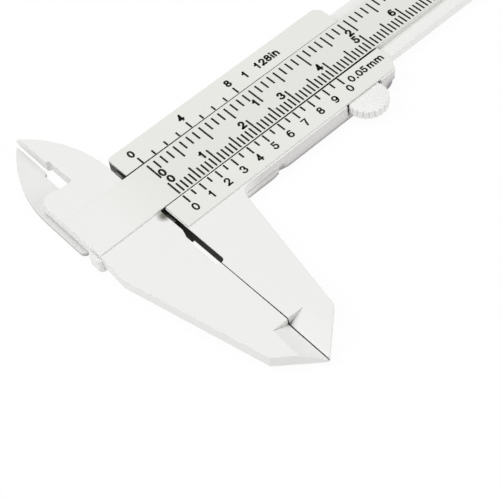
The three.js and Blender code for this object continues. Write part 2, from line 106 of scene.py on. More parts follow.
class Skin:
    """A value on a surface: a socket of the finish's nodes, on which sums and products add Math nodes."""

    def __init__(self, tree, socket=None):
        self.tree = tree
        self.socket = socket

    def node(self, kind, settings, sockets, output=0):
        """Adds a node: its settings are set first, then its sockets take values or links."""
        made = self.tree.nodes.new("ShaderNode" + kind)
        for name, value in settings.items():
            if name == "stops":
                for stop, (position, colour) in zip(made.color_ramp.elements, value):
                    stop.position = position
                    stop.color = (*colour, 1)
            else:
                setattr(made, name, value)
        for name, value in sockets.items():
            if isinstance(value, Skin):
                self.tree.links.new(value.socket, made.inputs[name])
            else:
                made.inputs[name].default_value = value
        return Skin(self.tree, made.outputs[output])

    def feed(self, shader, name):
        """Links the value into an input of a shader."""
        self.tree.links.new(self.socket, shader.inputs[name])

    def sum_of(self, operation, first, second):
        return self.node("Math", {"operation": operation}, {0: first, 1: second})

    def __add__(self, other):
        return self.sum_of("ADD", self, other)

    def __radd__(self, other):
        return self.sum_of("ADD", other, self)

    def __sub__(self, other):
        return self.sum_of("SUBTRACT", self, other)

    def __rsub__(self, other):
        return self.sum_of("SUBTRACT", other, self)

    def __mul__(self, other):
        return self.sum_of("MULTIPLY", self, other)

    def __rmul__(self, other):
        return self.sum_of("MULTIPLY", other, self)


def new_finish(name):
    """A new finish, its shader, and the place on the piece that its patterns follow."""
    finish = bpy.data.materials.new(name)
    finish.use_nodes = True
    place = Skin(finish.node_tree).node("TexCoord", {}, {}, "Object")
    return finish, finish.node_tree.nodes["Principled BSDF"], place


def clouds(place, scale, detail):
    """A cloudy pattern of one value, finer with a larger scale."""
    return place.node("TexNoise", {}, {"Vector": place, "Scale": scale, "Detail": detail}, "Fac")


def streaks(place, scales, detail):
    """A cloudy pattern with a scale of its own on each axis."""
    return clouds(place.node("Mapping", {}, {"Vector": place, "Scale": scales}), 1, detail)


def ramp(value, *stops):
    """A colour that follows a value between two stops, each a value and its colour."""
    return value.node("ValToRGB", {"stops": stops}, {"Fac": value}, "Color")


def toned(share, first, second):
    """A colour between two, by a share of the second."""
    return share.node("Mix", {"data_type": "RGBA"}, {0: share, 6: (*first, 1), 7: (*second, 1)}, 2)


def relief(height, strength, depth):
    """The slope of a fine relief of some depth, for a shader's normal."""
    return height.node("Bump", {}, {"Strength": strength, "Distance": depth, "Height": height}, "Normal")


def beyond(place, axis, clear, full):
    """How far a place lies beyond one value on an axis, from 0 there to 1 at another value."""
    along = place.node("SeparateXYZ", {}, {"Vector": place}, axis)
    return place.node("MapRange", {}, {"Value": along, "From Min": clear, "From Max": full})


def between(place, axis, start, end, rim=SOFT_RIM):
    """1 between two values on an axis, and down to 0 over a soft rim outside them."""
    return beyond(place, axis, start - rim, start) * beyond(place, axis, end + rim, end)


def tinted(share, colour, tint, blend="MULTIPLY"):
    """A colour with a tint laid over it by a share: MULTIPLY lets it show through, and MIX covers it."""
    over = tint if isinstance(tint, Skin) else (*tint, 1)
    kind = {"data_type": "RGBA", "blend_type": blend}
    return colour.node("Mix", kind, {0: share, 6: colour, 7: over}, 2)


def printed_faces(tint, start, full):
    """A stain: ink and handling grey the printed faces, from one X on and fully from another."""
    def stain(place, level, colour):
        share = beyond(place, "Z", PRINTED_FROM, PRINTED_FACE) * beyond(place, "X", start, full)
        return tinted(share, colour, tint)

    return stain


def smudge(middle, inner, outer, tint):
    """Painted shade: a soft round dark spot, full up to one distance from its middle and gone at another.
    """
    def stain(place, level, colour):
        away = place.node("VectorMath", {"operation": "DISTANCE"}, {0: place, 1: middle}, "Value")
        share = place.node("MapRange", {"interpolation_type": "SMOOTHSTEP"}, {
            "Value": away, "From Min": inner, "From Max": outer, "To Min": 1, "To Max": 0,
        })
        return tinted(share, colour, tint)

    return stain


def gap_dirt(along, across):
    """Painted shade: dark along the top of a wall that faces a gap, between two X and between two Y."""
    def stain(place, level, colour):
        share = (1 - level) * between(place, "X", *along) * between(place, "Y", *across, GAP_RIM)
        return tinted(share * beyond(place, "Z", *GAP_TOP) * GAP_SHADE_SHARE, colour, CREVICE_SHADE_TONE, "MIX")

    return stain


def moulded_plastic(
    name, tone, shade, roughness, tints_and_shades=(), slot_sky=SLOT_SKY, gap_sky=GAP_SKY, let_in=None,
    slot_shade=None,
):
    """White moulded plastic: clouds of slightly greyer tone, satin patches and a fine grain in the skin.

    Stains and painted shade are laid over it in their order. Slots and gaps get painted shade, dark where
    little open sky is seen: slot_sky and gap_sky are the shares of open sky between dark and clean, and
    let_in lessens this painted shade in some gaps. The walls of the slot between the outer jaws are painted
    dark as shade, up to an X and by a share.
    """
    finish, shader, place = new_finish(name)
    cloud = clouds(place, CLOUD_SCALE, 3)
    grain = clouds(place, GRAIN_SCALE, 3)
    rubbing = streaks(place, RUBBING_SCALE, 2)
    colour = toned(cloud * CLOUD_SHARE + grain * (1 - CLOUD_SHARE), tone, shade)
    satin = roughness - SATIN_DROP + cloud * SATIN_CLOUDS + rubbing * SATIN_RUBBING
    facing = place.node("TexCoord", {}, {}, "Normal")
    upward = place.node("SeparateXYZ", {}, {"Vector": facing}, "Z")
    underside = place.node("Math", {"operation": "MAXIMUM"}, {0: 0 - upward, 1: 0})
    level = upward * upward
    for stain in tints_and_shades:
        colour = stain(place, level, colour)
    # Painted shade: darker where the surface sees little open sky within a reach, in slots and in fine
    # gaps; level faces darken a little sooner, and undersides not at all.
    for reach, (dark, clean) in ((SLOT_REACH, slot_sky), (GAP_REACH, gap_sky)):
        sky = place.node("AmbientOcclusion", {"samples": SKY_SAMPLES}, {"Distance": reach}, "AO")
        sky = sky - level * level * LEVEL_SHADE + underside
        if let_in:
            sky = sky + let_in(place)
        colour = tinted(1, colour, ramp(sky, (dark, CREVICE_SHADE_TONE), (clean, (1, 1, 1))))
    # Painted shade: the walls of the slot between the outer jaws are painted dark, and rougher.
    if slot_shade:
        shade_right, share = slot_shade
        in_slot = share * between(place, "X", SLOT_SHADE_LEFT, shade_right) * between(place, "Y", *SLOT_SHADE_ACROSS)
        in_slot = in_slot * beyond(place, "Z", SLOT_SHADE_TOP + SOFT_RIM, SLOT_SHADE_TOP)
        slot_colour = toned(beyond(place, "Y", *SLOT_SHADE_SPREAD), DEEP_SLOT_SHADE, SLOT_SHADE_TONE)
        colour = tinted(in_slot, colour, slot_colour, "MIX")
        satin = satin + in_slot * SLOT_SHADE_ROUGHNESS
    colour.feed(shader, "Base Color")
    satin.feed(shader, "Roughness")
    skin = relief(grain * GRAIN_SHARE + rubbing * (1 - GRAIN_SHARE), GRAIN_STRENGTH, GRAIN_DEPTH)
    skin.feed(shader, "Normal")
    shader.inputs["IOR"].default_value = PLASTIC_IOR
    shader.inputs["Specular IOR Level"].default_value = PLASTIC_SHEEN
    return finish


def only(*pieces):
    """Selects these pieces and nothing else, and makes the first one active."""
    bpy.ops.object.select_all(action="DESELECT")
    for piece in pieces:
        piece.select_set(True)
    bpy.context.view_layer.objects.active = pieces[0]


def moulding(node, name):
    """A copy of a solid's mesh, merged, with its flat faces whole again."""
    piece = bpy.data.objects.new(name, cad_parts[node].data.copy())
    bpy.context.scene.collection.objects.link(piece)
    only(piece)
    bpy.ops.mesh.customdata_custom_splitnormals_clear()
    bpy.ops.object.mode_set(mode="EDIT")
    bpy.ops.mesh.select_all(action="SELECT")
    bpy.ops.mesh.remove_doubles(threshold=WELD)
    bpy.ops.mesh.dissolve_limited(angle_limit=SAME_PLANE)
    bpy.ops.object.mode_set(mode="OBJECT")
    piece.data.materials.clear()
    return piece


def round_edges(piece, width, segments=3, share=lambda middle: 1):
    """Rounds every sharp edge, and leaves the flat faces flat in the shading.

    The middle of an edge gives the share of the full width that its rounding has.
    """
    meeting = {}
    for side in piece.data.polygons:
        for corner in side.edge_keys:
            meeting.setdefault(corner, []).append(side.normal)
    rounding = piece.data.attributes.new("bevel_weight_edge", "FLOAT", "EDGE")
    for edge in piece.data.edges:
        sides = meeting[edge.key]
        if len(sides) == 2 and sides[0].angle(sides[1]) > SHARP_ANGLE:
            ends = [piece.data.vertices[i].co for i in edge.vertices]
            rounding.data[edge.index].value = share((ends[0] + ends[1]) / 2)
    only(piece)
    bevel = piece.modifiers.new("edges", "BEVEL")
    bevel.width = width
    bevel.segments = segments
    bevel.limit_method = "WEIGHT"
    bevel.use_clamp_overlap = False
    bpy.ops.object.modifier_apply(modifier=bevel.name)
    bpy.ops.object.shade_smooth_by_angle(angle=SHARP_ANGLE)
    flat_sides = {}
    for side in piece.data.polygons:
        if abs(side.normal.z) > LEVEL_ENOUGH:
            for corner in side.edge_keys:
                flat_sides.setdefault(corner, []).append(side.normal)
    for edge in piece.data.edges:
        sides = flat_sides.get(edge.key, [])
        if len(sides) == 2 and sides[0].angle(sides[1]) > CREASE_ANGLE:
            edge.use_edge_sharp = True
    weights = piece.modifiers.new("flats", "WEIGHTED_NORMAL")
    weights.keep_sharp = True
    bpy.ops.object.modifier_apply(modifier=weights.name)


def dress(piece, finish, body, slot=None, *nodes):
    """Gives a piece its finish, the body that it moves with and the solids that it stands for."""
    piece.data.materials.clear()
    piece.data.materials.append(finish)
    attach(piece, body)
    if nodes:
        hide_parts(*nodes)


# The rib's print tint, and painted shade beside the slide and along the rib's side.
beam_tints_and_shades = [printed_faces(BEAM_PRINTED_TINT, *BEAM_HANDLED), smudge(*HEAD_SHADE_SPOT), gap_dirt(*RIB_SIDE)]
moulded_white = moulded_plastic(
    "moulded_white", MOULDED_TONE, MOULDED_SHADE, MOULDED_ROUGHNESS, beam_tints_and_shades, slot_shade=BEAM_SLOT_SHADE,
)
beam = moulding("beam", "beam_moulding")


def beam_rounding(middle):
    """The edges at the back are crisp, and so are the long edges of the rib beside the bars."""
    if middle.z < BACK_EDGES:
        return BACK_SHARE
    return RIB_SHARE if middle.z > PRINTED_FACE and abs(middle.y) > RIB_EDGE else 1


round_edges(beam, BEAM_EDGE, share=beam_rounding)
dress(beam, moulded_white, "beam", "white_plastic", "beam")


# Main scales: printed in black on the raised rib, millimetres along its lower edge and sixteenths of an
# inch along its upper edge, to where the verniers still need them when the slide is fully out.
RIB_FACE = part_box("beam")[1].z
INK_TONE = (0.006, 0.006, 0.006)
WORN_INK_TONE = (0.03, 0.03, 0.032)
INK_WEAR_SCALE = 2600
INK_ROUGHNESS = 0.45
INK_SHEEN = 0.2
INK_RISE = 0.008 * MM
INK_SUNK = 0.002 * MM
LINE_CORNER = 0.05 * MM
LINE_WIDTH = 0.4 * MM
INCH = 25.4 * MM
MILLIMETRES = 190
SIXTEENTHS = 112
MM_LINES_FROM = -4.9 * MM
MM_LINES_TO = (-2.52 * MM, -1.42 * MM, -0.68 * MM)
INCH_LINES_FROM = 4.5 * MM
INCH_LINES_TO = (2.2 * MM, 1.02 * MM, 0.36 * MM)


def printing_ink():
    """Black ink, a little thinner in places, with the skin of the plastic showing in its gloss."""
    finish, shader, place = new_finish("scale_ink")
    thin = clouds(place, INK_WEAR_SCALE, 3)
    ramp(thin, (0.45, INK_TONE), (0.85, WORN_INK_TONE)).feed(shader, "Base Color")
    gloss = INK_ROUGHNESS + thin * 0.2
    gloss.feed(shader, "Roughness")
    shader.inputs["Specular IOR Level"].default_value = INK_SHEEN
    return finish


def choose(piece, mode, chosen):
    """Selects in edit mode the vertices, edges or faces that a test picks, and leaves edit mode open."""
    bpy.ops.object.mode_set(mode="EDIT")
    bpy.ops.mesh.select_mode(type=mode)
    bpy.ops.mesh.select_all(action="DESELECT")
    bpy.ops.object.mode_set(mode="OBJECT")
    kinds = {"VERT": "vertices", "EDGE": "edges", "FACE": "polygons"}
    for element in getattr(piece.data, kinds[mode]):
        element.select = chosen(element)
    bpy.ops.object.mode_set(mode="EDIT")


def scale_lines(name, start, end, first, pitch, count, height):
    """A row of printed lines from one Y to another: one line, drawn once and repeated along X."""
    bpy.ops.object.select_all(action="DESELECT")
    middle = ((start + end) / 2, height + INK_RISE / 2 - INK_SUNK)
    bpy.ops.mesh.primitive_cube_add(size=1, location=(first, *middle))
    lines = bpy.context.object
    lines.name = name
    lines.scale = (LINE_WIDTH, abs(end - start), INK_RISE)
    bpy.ops.object.transform_apply(location=True, rotation=True, scale=True)

    def upright(edge):
        low, high = sorted(lines.data.vertices[i].co.z for i in edge.vertices)
        return high - low > INK_RISE / 2

    choose(lines, "EDGE", upright)
    bpy.ops.mesh.bevel(offset=LINE_CORNER, segments=1)
    bpy.ops.object.mode_set(mode="OBJECT")
    row = lines.modifiers.new("row", "ARRAY")
    row.use_relative_offset = False
    row.use_constant_offset = True
    row.constant_offset_displace = (pitch, 0, 0)
    row.count = count
    bpy.ops.object.modifier_apply(modifier=row.name)
    return lines


def one_print(name, parts):
    """Joins the rows of one print into one piece."""
    only(*parts)
    bpy.ops.object.join()
    bpy.context.object.name = name
    return bpy.context.object


scale_ink = printing_ink()
millimetre_lines = one_print("millimetre_lines", [
    scale_lines("ones", MM_LINES_FROM, MM_LINES_TO[0], 0, MM, MILLIMETRES + 1, RIB_FACE),
    scale_lines("fives", MM_LINES_TO[0], MM_LINES_TO[1], 0, 5 * MM, MILLIMETRES // 5 + 1, RIB_FACE),
    scale_lines("tens", MM_LINES_TO[1], MM_LINES_TO[2], 10 * MM, 10 * MM, MILLIMETRES // 10, RIB_FACE),
])
dress(millimetre_lines, scale_ink, "beam")
inch_lines = one_print("inch_lines", [
    scale_lines("sixteenths", INCH_LINES_FROM, INCH_LINES_TO[0], 0, INCH / 16, SIXTEENTHS + 1, RIB_FACE),
    scale_lines("quarters", INCH_LINES_TO[0], INCH_LINES_TO[1], 0, INCH / 4, SIXTEENTHS // 4 + 1, RIB_FACE),
    scale_lines("halves", INCH_LINES_TO[1], INCH_LINES_TO[2], 0, INCH / 2, SIXTEENTHS // 8 + 1, RIB_FACE),
])
dress(inch_lines, scale_ink, "beam")


# Numerals of the main scales: plain upright figures in the same print, 2 mm tall, each before its long
# line. They are drawn as pen strokes of one width.
FIGURE_HEIGHT = 2 * MM
FIGURE_WIDTH = 1.36 * MM
RULE_PEN = 0.46 * MM
MM_FIGURES_Y = -1.02 * MM
INCH_FIGURES_Y = 1.2 * MM
MM_ZERO_X = 1.12 * MM
MM_LEADS = (1.3 * MM, 2.1 * MM)
INCH_ZERO_X = 0.95 * MM
INCH_LEADS = (1.2 * MM, 1.65 * MM)
FIGURE_PITCH = 1.2
MITRE_LIMIT = 0.4


def bow(x, y, across, up, start, end, steps=10):
    """Points of an oval bow, between two angles in degrees."""
    turns = [math.radians(start + (end - start) * i / steps) for i in range(steps + 1)]
    return [(x + across * math.cos(turn), y + up * math.sin(turn)) for turn in turns]


# Strokes of each figure in a box one wide and one tall. A closed stroke ends at its first point.
FIGURES = {
    "0": [bow(0.5, 0.5, 0.5, 0.5, 90, 450, 22)],
    "1": [[(0.62, 0), (0.62, 1)], [(0.62, 0.97), (0.46, 0.82), (0.2, 0.73)]],
    "2": [bow(0.5, 0.7, 0.47, 0.3, 172, -28) + [(0.62, 0.34), (0.06, 0)], [(0.02, 0), (1, 0)]],
    "3": [bow(0.47, 0.755, 0.42, 0.245, 165, -80) + bow(0.47, 0.265, 0.52, 0.265, 85, -165)],
    "4": [[(0.7, 0), (0.7, 1)], [(0.66, 0.94), (0.04, 0.3)], [(0, 0.25), (1, 0.25)]],
    "5": [[(0.9, 1), (0.2, 1), (0.06, 0.47)] + bow(0.47, 0.32, 0.5, 0.32, 128, -162)],
    "6": [bow(0.5, 0.31, 0.5, 0.31, 180, 540, 16), bow(0.62, 0.42, 0.62, 0.58, 190, 62)],
    "7": [[(0, 1), (1, 1), (0.62, 0.52), (0.38, 0)]],
    "8": [bow(0.5, 0.765, 0.42, 0.235, 90, 450, 14), bow(0.5, 0.265, 0.5, 0.265, 90, 450, 16)],
    "9": [bow(0.5, 0.69, 0.5, 0.31, 0, 360, 16), bow(0.38, 0.58, 0.62, 0.58, 10, -118)],
    ".": [[(0.5, 0), (0.5, 0.07)]],
    "i": [[(0.5, 0), (0.5, 0.6)], [(0.5, 0.97), (0.5, 1)]],
    "n": [[(0, 0), (0, 0.7)], [(0, 0.42)] + bow(0.46, 0.42, 0.46, 0.28, 165, 0, 7) + [(0.92, 0)]],
    "m": [[(0, 0), (0, 0.7)]] + [
        [(x, 0.42)] + bow(x + 0.26, 0.42, 0.26, 0.28, 165, 0, 6) + [(x + 0.52, 0)] for x in (0, 0.52)
    ],
}


def ribbon(points, closed, stroke):
    """Corners of a stroke's two sides, mitred where the stroke turns."""
    count = len(points)
    sides = []
    for i, (x, y) in enumerate(points):
        before = points[i - 1] if closed or i else points[0]
        after = points[(i + 1) % count] if closed or i < count - 1 else points[-1]
        runs = [Vector((x - before[0], y - before[1])), Vector((after[0] - x, after[1] - y))]
        normals = [Vector((-run.y, run.x)).normalized() for run in runs if run.length > 0]
        mitre = sum(normals, Vector((0, 0))) / len(normals)
        mitre *= stroke / 2 / max(mitre.length_squared, MITRE_LIMIT)
        sides.append((x + mitre.x, y + mitre.y, 0))
        sides.append((x - mitre.x, y - mitre.y, 0))
    return sides


def figures(name, places, height, pen):
    """Prints figures [figure, x, y, width, tall] on one face, each stroke as a raised ribbon of ink."""
    corners = []
    faces = []
    for figure, x, y, width, tall in places:
        for stroke in FIGURES[figure]:
            closed = math.dist(stroke[0], stroke[-1]) < 0.001
            points = [
                (x + (across - 0.5) * (width - pen), y + (up - 0.5) * (tall - pen))
                for across, up in (stroke[:-1] if closed else stroke)
            ]
            if not closed:
                for end, inner in ((0, 1), (-1, -2)):
                    reach = Vector(points[end]) - Vector(points[inner])
                    points[end] = tuple(Vector(points[end]) + reach.normalized() * pen / 2)
            first = len(corners)
            corners += ribbon(points, closed, pen)
            for i in range(len(points) if closed else len(points) - 1):
                near = first + 2 * i
                far = first + 2 * ((i + 1) % len(points))
                faces.append((near, near + 1, far + 1, far))
    ink = bpy.data.meshes.new(name)
    ink.from_pydata([(x, y, height - INK_SUNK) for x, y, _ in corners], [], faces)
    print_ = bpy.data.objects.new(name, ink)
    bpy.context.scene.collection.objects.link(print_)
    only(print_)
    raised = print_.modifiers.new("raised", "SOLIDIFY")
    raised.thickness = INK_RISE
    raised.offset = 1
    bpy.ops.object.modifier_apply(modifier=raised.name)
    return print_


def number(value, x, y, width, tall):
    """The figures of a whole number, side by side about its centre."""
    text = str(value)
    pitch = width * FIGURE_PITCH
    return [
        (figure, x + (i - (len(text) - 1) / 2) * pitch, y, width, tall) for i, figure in enumerate(text)
    ]


RULE_FIGURE = (FIGURE_WIDTH, FIGURE_HEIGHT)
millimetre_places = number(0, MM_ZERO_X, MM_FIGURES_Y, *RULE_FIGURE)
for ten in range(1, MILLIMETRES // 10 + 1):
    lead = MM_LEADS[0] if ten < 10 else MM_LEADS[1]
    millimetre_places += number(ten, ten * 10 * MM - lead, MM_FIGURES_Y, *RULE_FIGURE)
millimetre_figures = figures("millimetre_figures", millimetre_places, RIB_FACE, RULE_PEN)
dress(millimetre_figures, scale_ink, "beam")
inch_places = number(0, INCH_ZERO_X, INCH_FIGURES_Y, *RULE_FIGURE)
for inch in range(1, SIXTEENTHS // 16 + 1):
    lead = INCH_LEADS[0] if inch == 1 else INCH_LEADS[1]
    inch_places += number(inch, inch * INCH - lead, INCH_FIGURES_Y, *RULE_FIGURE)
inch_figures = figures("inch_figures", inch_places, RIB_FACE, RULE_PEN)
dress(inch_figures, scale_ink, "beam")


# Lower half of the slide: vernier bar, side wall and moving outer jaw in one moulding. The millimetre
# vernier on its bar has twenty divisions over 39 mm, numbered 0 to 9 and 0. The value of one division is
# printed beyond its right end, and each of its figures is given with its middle and its width.
BAR_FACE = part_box("slide_lower_half")[1].z
ON_BAR_FACE = BAR_FACE - 0.01 * MM
SLIDE_EDGE = 0.1 * MM
BAR_EDGE = 0.24 * MM
BAR_INNER = -5.9 * MM
BAR_OUTER = -11.8 * MM
BAR_ROUND_FROM = 15 * MM
INNER_EDGE_WIDTH = 0.04 * MM
CRISP_EDGE = 0.02 * MM
ROOF_EDGE = (3.5 * MM, 3.6 * MM)
SEAM_LOW = 1.5 * MM
SEAM_HIGH = 1.65 * MM
SEAM_SHUT = 0.04 * MM
TIPS_X = -4.8 * MM
TIPS_Y = -30 * MM
TIPS_GAP = 0.06 * MM
SLIDE_PRINTED_TINT = (0.945, 0.955, 0.925)
SLIDE_HANDLED = (-30 * MM, -20 * MM)
SLIDE_SLOT_SKY = (0.39, 0.54)
SLIDE_GAP_SKY = (0.3, 0.42)
# Painted shade: dark spots at the tray's rounded right corner and at the notch in the lower wall.
CORNER_SHADE_SPOT = (Vector((47.2, -11.8, 0)) * MM, 0.5 * MM, 3.2 * MM, (0.42, 0.42, 0.47))
NOTCH_SHADE_SPOT = (Vector((18.4, -12.2, 0.7)) * MM, 0.1 * MM, 1.3 * MM, (0.38, 0.38, 0.4))
# Painted shade: the walls of the moving jaw's slot are painted dark up to this X, and a dark line runs
# along the bar's side at the rib.
JAW_SLOT_SHADE = (-2.6 * MM, 1)
BAR_SIDE = ((-4 * MM, 50 * MM), (5.1 * MM, 5.9 * MM))
# Painted shade: the lower wall is painted greyer and a little pink beside the moving jaw.
WALL_SHADE_TINT = (0.83, 0.805, 0.815)
WALL_FROM = (10 * MM, 13 * MM)
WALL_FRONT = -11.7 * MM
# Less painted shade in the gaps round the thumb wheel.
POCKET_ALONG = (33.6 * MM, 47 * MM)
POCKET_FRONT = -9 * MM
POCKET_LIGHT = 0.3
POCKET_END_LIGHT = 0.5
MM_VERNIER_PITCH = 1.95 * MM
MM_VERNIER_FROM = -5.64 * MM
MM_VERNIER_TO = (-7.1 * MM, -7.72 * MM)
MM_VERNIER_FIGURES_Y = -9.17 * MM
VERNIER_PEN = 0.37 * MM
VERNIER_FIGURE = (1.28 * MM, 1.9 * MM)
UNIT_Y = -7.69 * MM
UNIT_HEIGHT = 1.76 * MM
UNIT_FIGURES = (
    ("0", 40.87, 1.28), (".", 41.93, 0.6), ("0", 42.9, 1.28), ("5", 44.18, 1.2), ("m", 46.03, 1.75),
    ("m", 48.03, 1.75),
)
lower_half = moulding("slide_lower_half", "slide_lower_moulding")


def close_seam(half):
    """Lets a half of the slide down onto the rim of the back cover, so that the seam is a fine line."""
    choose(half, "VERT", lambda corner: SEAM_LOW < corner.co.z < SEAM_HIGH)
    bpy.ops.transform.translate(value=(0, 0, -SEAM_SHUT))
    bpy.ops.object.mode_set(mode="OBJECT")


def bar_rounding(middle):
    """The outer edge of the bar is round, and its edges at the cover and over the wheel are crisp."""
    if SEAM_LOW < middle.z < SEAM_HIGH or ROOF_EDGE[0] < middle.z < ROOF_EDGE[1]:
        return CRISP_EDGE / BAR_EDGE
    top = middle.z > ON_BAR_FACE
    if top and middle.y > BAR_INNER:
        return INNER_EDGE_WIDTH / BAR_EDGE
    return 1 if top and middle.y < BAR_OUTER and middle.x > BAR_ROUND_FROM else SLIDE_EDGE / BAR_EDGE


def outer_wall(place, level, colour):
    """Painted shade: the slide's lower wall is painted greyer and a little pink beside the moving jaw."""
    wall = (1 - level) * beyond(place, "X", *WALL_FROM)
    return tinted(wall * beyond(place, "Y", WALL_FRONT + SOFT_RIM, WALL_FRONT), colour, WALL_SHADE_TINT)


def pocket_light(place):
    """Less painted shade in the gaps round the thumb wheel, and less still at the pocket's right end."""
    in_pocket = between(place, "X", *POCKET_ALONG)
    in_pocket = in_pocket * beyond(place, "Y", POCKET_FRONT + SOFT_RIM, POCKET_FRONT)
    return in_pocket * (POCKET_LIGHT + beyond(place, "X", *POCKET_ALONG) * POCKET_END_LIGHT)


# Painted shade spots, shared with the back cover.
slide_shade_spots = [smudge(*CORNER_SHADE_SPOT), smudge(*NOTCH_SHADE_SPOT)]
slide_white = moulded_plastic(
    "slide_white", MOULDED_TONE, MOULDED_SHADE, MOULDED_ROUGHNESS,
    [printed_faces(SLIDE_PRINTED_TINT, *SLIDE_HANDLED), *slide_shade_spots, outer_wall, gap_dirt(*BAR_SIDE)],
    SLIDE_SLOT_SKY, SLIDE_GAP_SKY, pocket_light, JAW_SLOT_SHADE,
)
close_seam(lower_half)
choose(lower_half, "VERT", lambda corner: corner.co.x < TIPS_X and corner.co.y < TIPS_Y)
bpy.ops.transform.translate(value=(TIPS_GAP, 0, 0))
bpy.ops.object.mode_set(mode="OBJECT")
round_edges(lower_half, BAR_EDGE, share=bar_rounding)
dress(lower_half, slide_white, "slide", "white_plastic", "slide_lower_half")
millimetre_vernier = one_print("millimetre_vernier", [
    scale_lines("twentieths", MM_VERNIER_FROM, MM_VERNIER_TO[0], 0, MM_VERNIER_PITCH, 21, BAR_FACE),
    scale_lines("tenths", MM_VERNIER_TO[0], MM_VERNIER_TO[1], 0, 2 * MM_VERNIER_PITCH, 11, BAR_FACE),
])
dress(millimetre_vernier, scale_ink, "slide")
vernier_places = []
for tenth in range(11):
    x = tenth * 2 * MM_VERNIER_PITCH
    vernier_places += number(tenth % 10, x, MM_VERNIER_FIGURES_Y, *VERNIER_FIGURE)
for figure, x, width in UNIT_FIGURES:
    vernier_places.append((figure, x * MM, UNIT_Y, width * MM, UNIT_HEIGHT))
millimetre_vernier_figures = figures("millimetre_vernier_figures", vernier_places, BAR_FACE, VERNIER_PEN)
dress(millimetre_vernier_figures, scale_ink, "slide")


# Upper half of the slide: vernier bar and side wall. The inch vernier on it has eight divisions over
# fifteen sixteenths of an inch, with 0, 4 and 8 numbered. The value of one division is printed beyond it,
# and each of its figures is given with its middle and its width.
INCH_VERNIER_PITCH = 15 / 16 * INCH / 8
INCH_VERNIER_FROM = 5.46 * MM
INCH_VERNIER_TO = (6.72 * MM, 7.24 * MM)
INCH_VERNIER_PEN = 0.42 * MM
INCH_VERNIER_FIGURES_Y = 8.76 * MM
INCH_VERNIER_NUMERALS = ((0, -0.3), (4, 0), (8, 0.1))
READING_Y = 8.04 * MM
READING_HEIGHT = 1.9 * MM
READING_FIGURES = (
    ("1", 27.75, 1.28), ("1", 30.95, 1.28), ("2", 32.35, 1.28), ("8", 33.75, 1.28), ("i", 34.75, 0.6),
    ("n", 35.75, 1.25),
)
INNER_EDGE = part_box("slide_upper_half")[0].y + 0.05 * MM
HALFWAY = 20 * MM
LEFT_IN = 0.15 * MM
RIGHT_OUT = -0.09 * MM
SEAM_SHARE = 0.2
INNER_SHARE = 0.4
upper_half = moulding("slide_upper_half", "slide_upper_moulding")
for left, shift in ((True, LEFT_IN), (False, RIGHT_OUT)):
    choose(upper_half, "VERT", lambda corner: corner.co.y < INNER_EDGE and (corner.co.x < HALFWAY) == left)
    bpy.ops.transform.translate(value=(0, shift, 0))
    bpy.ops.object.mode_set(mode="OBJECT")
close_seam(upper_half)


def upper_rounding(middle):
    """The edges at the back cover and beside the rib are crisp."""
    if SEAM_LOW < middle.z < SEAM_HIGH:
        return SEAM_SHARE
    return INNER_SHARE if middle.z > ON_BAR_FACE and middle.y < -BAR_INNER else 1


round_edges(upper_half, SLIDE_EDGE, share=upper_rounding)
dress(upper_half, slide_white, "slide", "white_plastic", "slide_upper_half")
inch_vernier = one_print("inch_vernier", [
    scale_lines("eighths", INCH_VERNIER_FROM, INCH_VERNIER_TO[0], 0, INCH_VERNIER_PITCH, 9, BAR_FACE),
    scale_lines("long", INCH_VERNIER_TO[0], INCH_VERNIER_TO[1], 0, 4 * INCH_VERNIER_PITCH, 3, BAR_FACE),
])
dress(inch_vernier, scale_ink, "slide")
vernier_places = []
for eighth, shift in INCH_VERNIER_NUMERALS:
    x = eighth * INCH_VERNIER_PITCH + shift * MM
    vernier_places += number(eighth, x, INCH_VERNIER_FIGURES_Y, *VERNIER_FIGURE)
for figure, x, width in READING_FIGURES:
    vernier_places.append((figure, x * MM, READING_Y, width * MM, READING_HEIGHT))
inch_vernier_figures = figures("inch_vernier_figures", vernier_places, BAR_FACE, INCH_VERNIER_PEN)
dress(inch_vernier_figures, scale_ink, "slide")


# Back cover: a shallow tray that closes the slide from below, with an arm that passes behind the head
# and ends in the moving inside jaw. It is moulded from the same plastic, a shade greyer.
COVER_EDGE = 0.1 * MM
COVER_TONE = (0.795, 0.795, 0.778)
COVER_SHADE = (0.77, 0.77, 0.756)
COVER_ROUGHNESS = 0.46
COVER_SLOT_SKY = (0.05, 0.3)
COVER_GAP_SKY = (0.08, 0.32)
# Painted shade: the outside walls darker towards the table.
TABLE_SHADE_TOP = 1 * MM
TABLE_SHADE_SHARE = 0.9
TABLE_SHADE_TINT = (0.35, 0.35, 0.36)


def grimy_rim(place, level, colour):
    """Painted shade: the outside walls are darker towards the table."""
    low = beyond(place, "Z", TABLE_SHADE_TOP, 0) * TABLE_SHADE_SHARE
    return tinted(low * (1 - level), colour, TABLE_SHADE_TINT)


cover_shades = [*slide_shade_spots, grimy_rim, outer_wall]
cover_white = moulded_plastic(
    "cover_white", COVER_TONE, COVER_SHADE, COVER_ROUGHNESS, cover_shades, COVER_SLOT_SKY, COVER_GAP_SKY,
    pocket_light, JAW_SLOT_SHADE,
)
cover = moulding("back_cover", "back_cover_moulding")
round_edges(cover, COVER_EDGE, share=lambda middle: SEAM_SHARE if SEAM_LOW < middle.z < SEAM_HIGH else 1)
dress(cover, cover_white, "slide", "cover_plastic", "back_cover")


# Depth rod and stop plate: a flat plastic strip that slides in the groove of the beam, and the plate that
# is screwed across the groove at the tail. Both are of the same plastic as the back cover.
ROD_EDGE = 0.08 * MM
STOP_EDGE = 0.1 * MM
rod = moulding("depth_rod", "depth_rod_strip")
round_edges(rod, ROD_EDGE)
dress(rod, cover_white, "slide", "cover_plastic", "depth_rod")
stop = moulding("end_stop", "end_stop_plate")
round_edges(stop, STOP_EDGE)
dress(stop, cover_white, "beam", "cover_plastic", "end_stop")


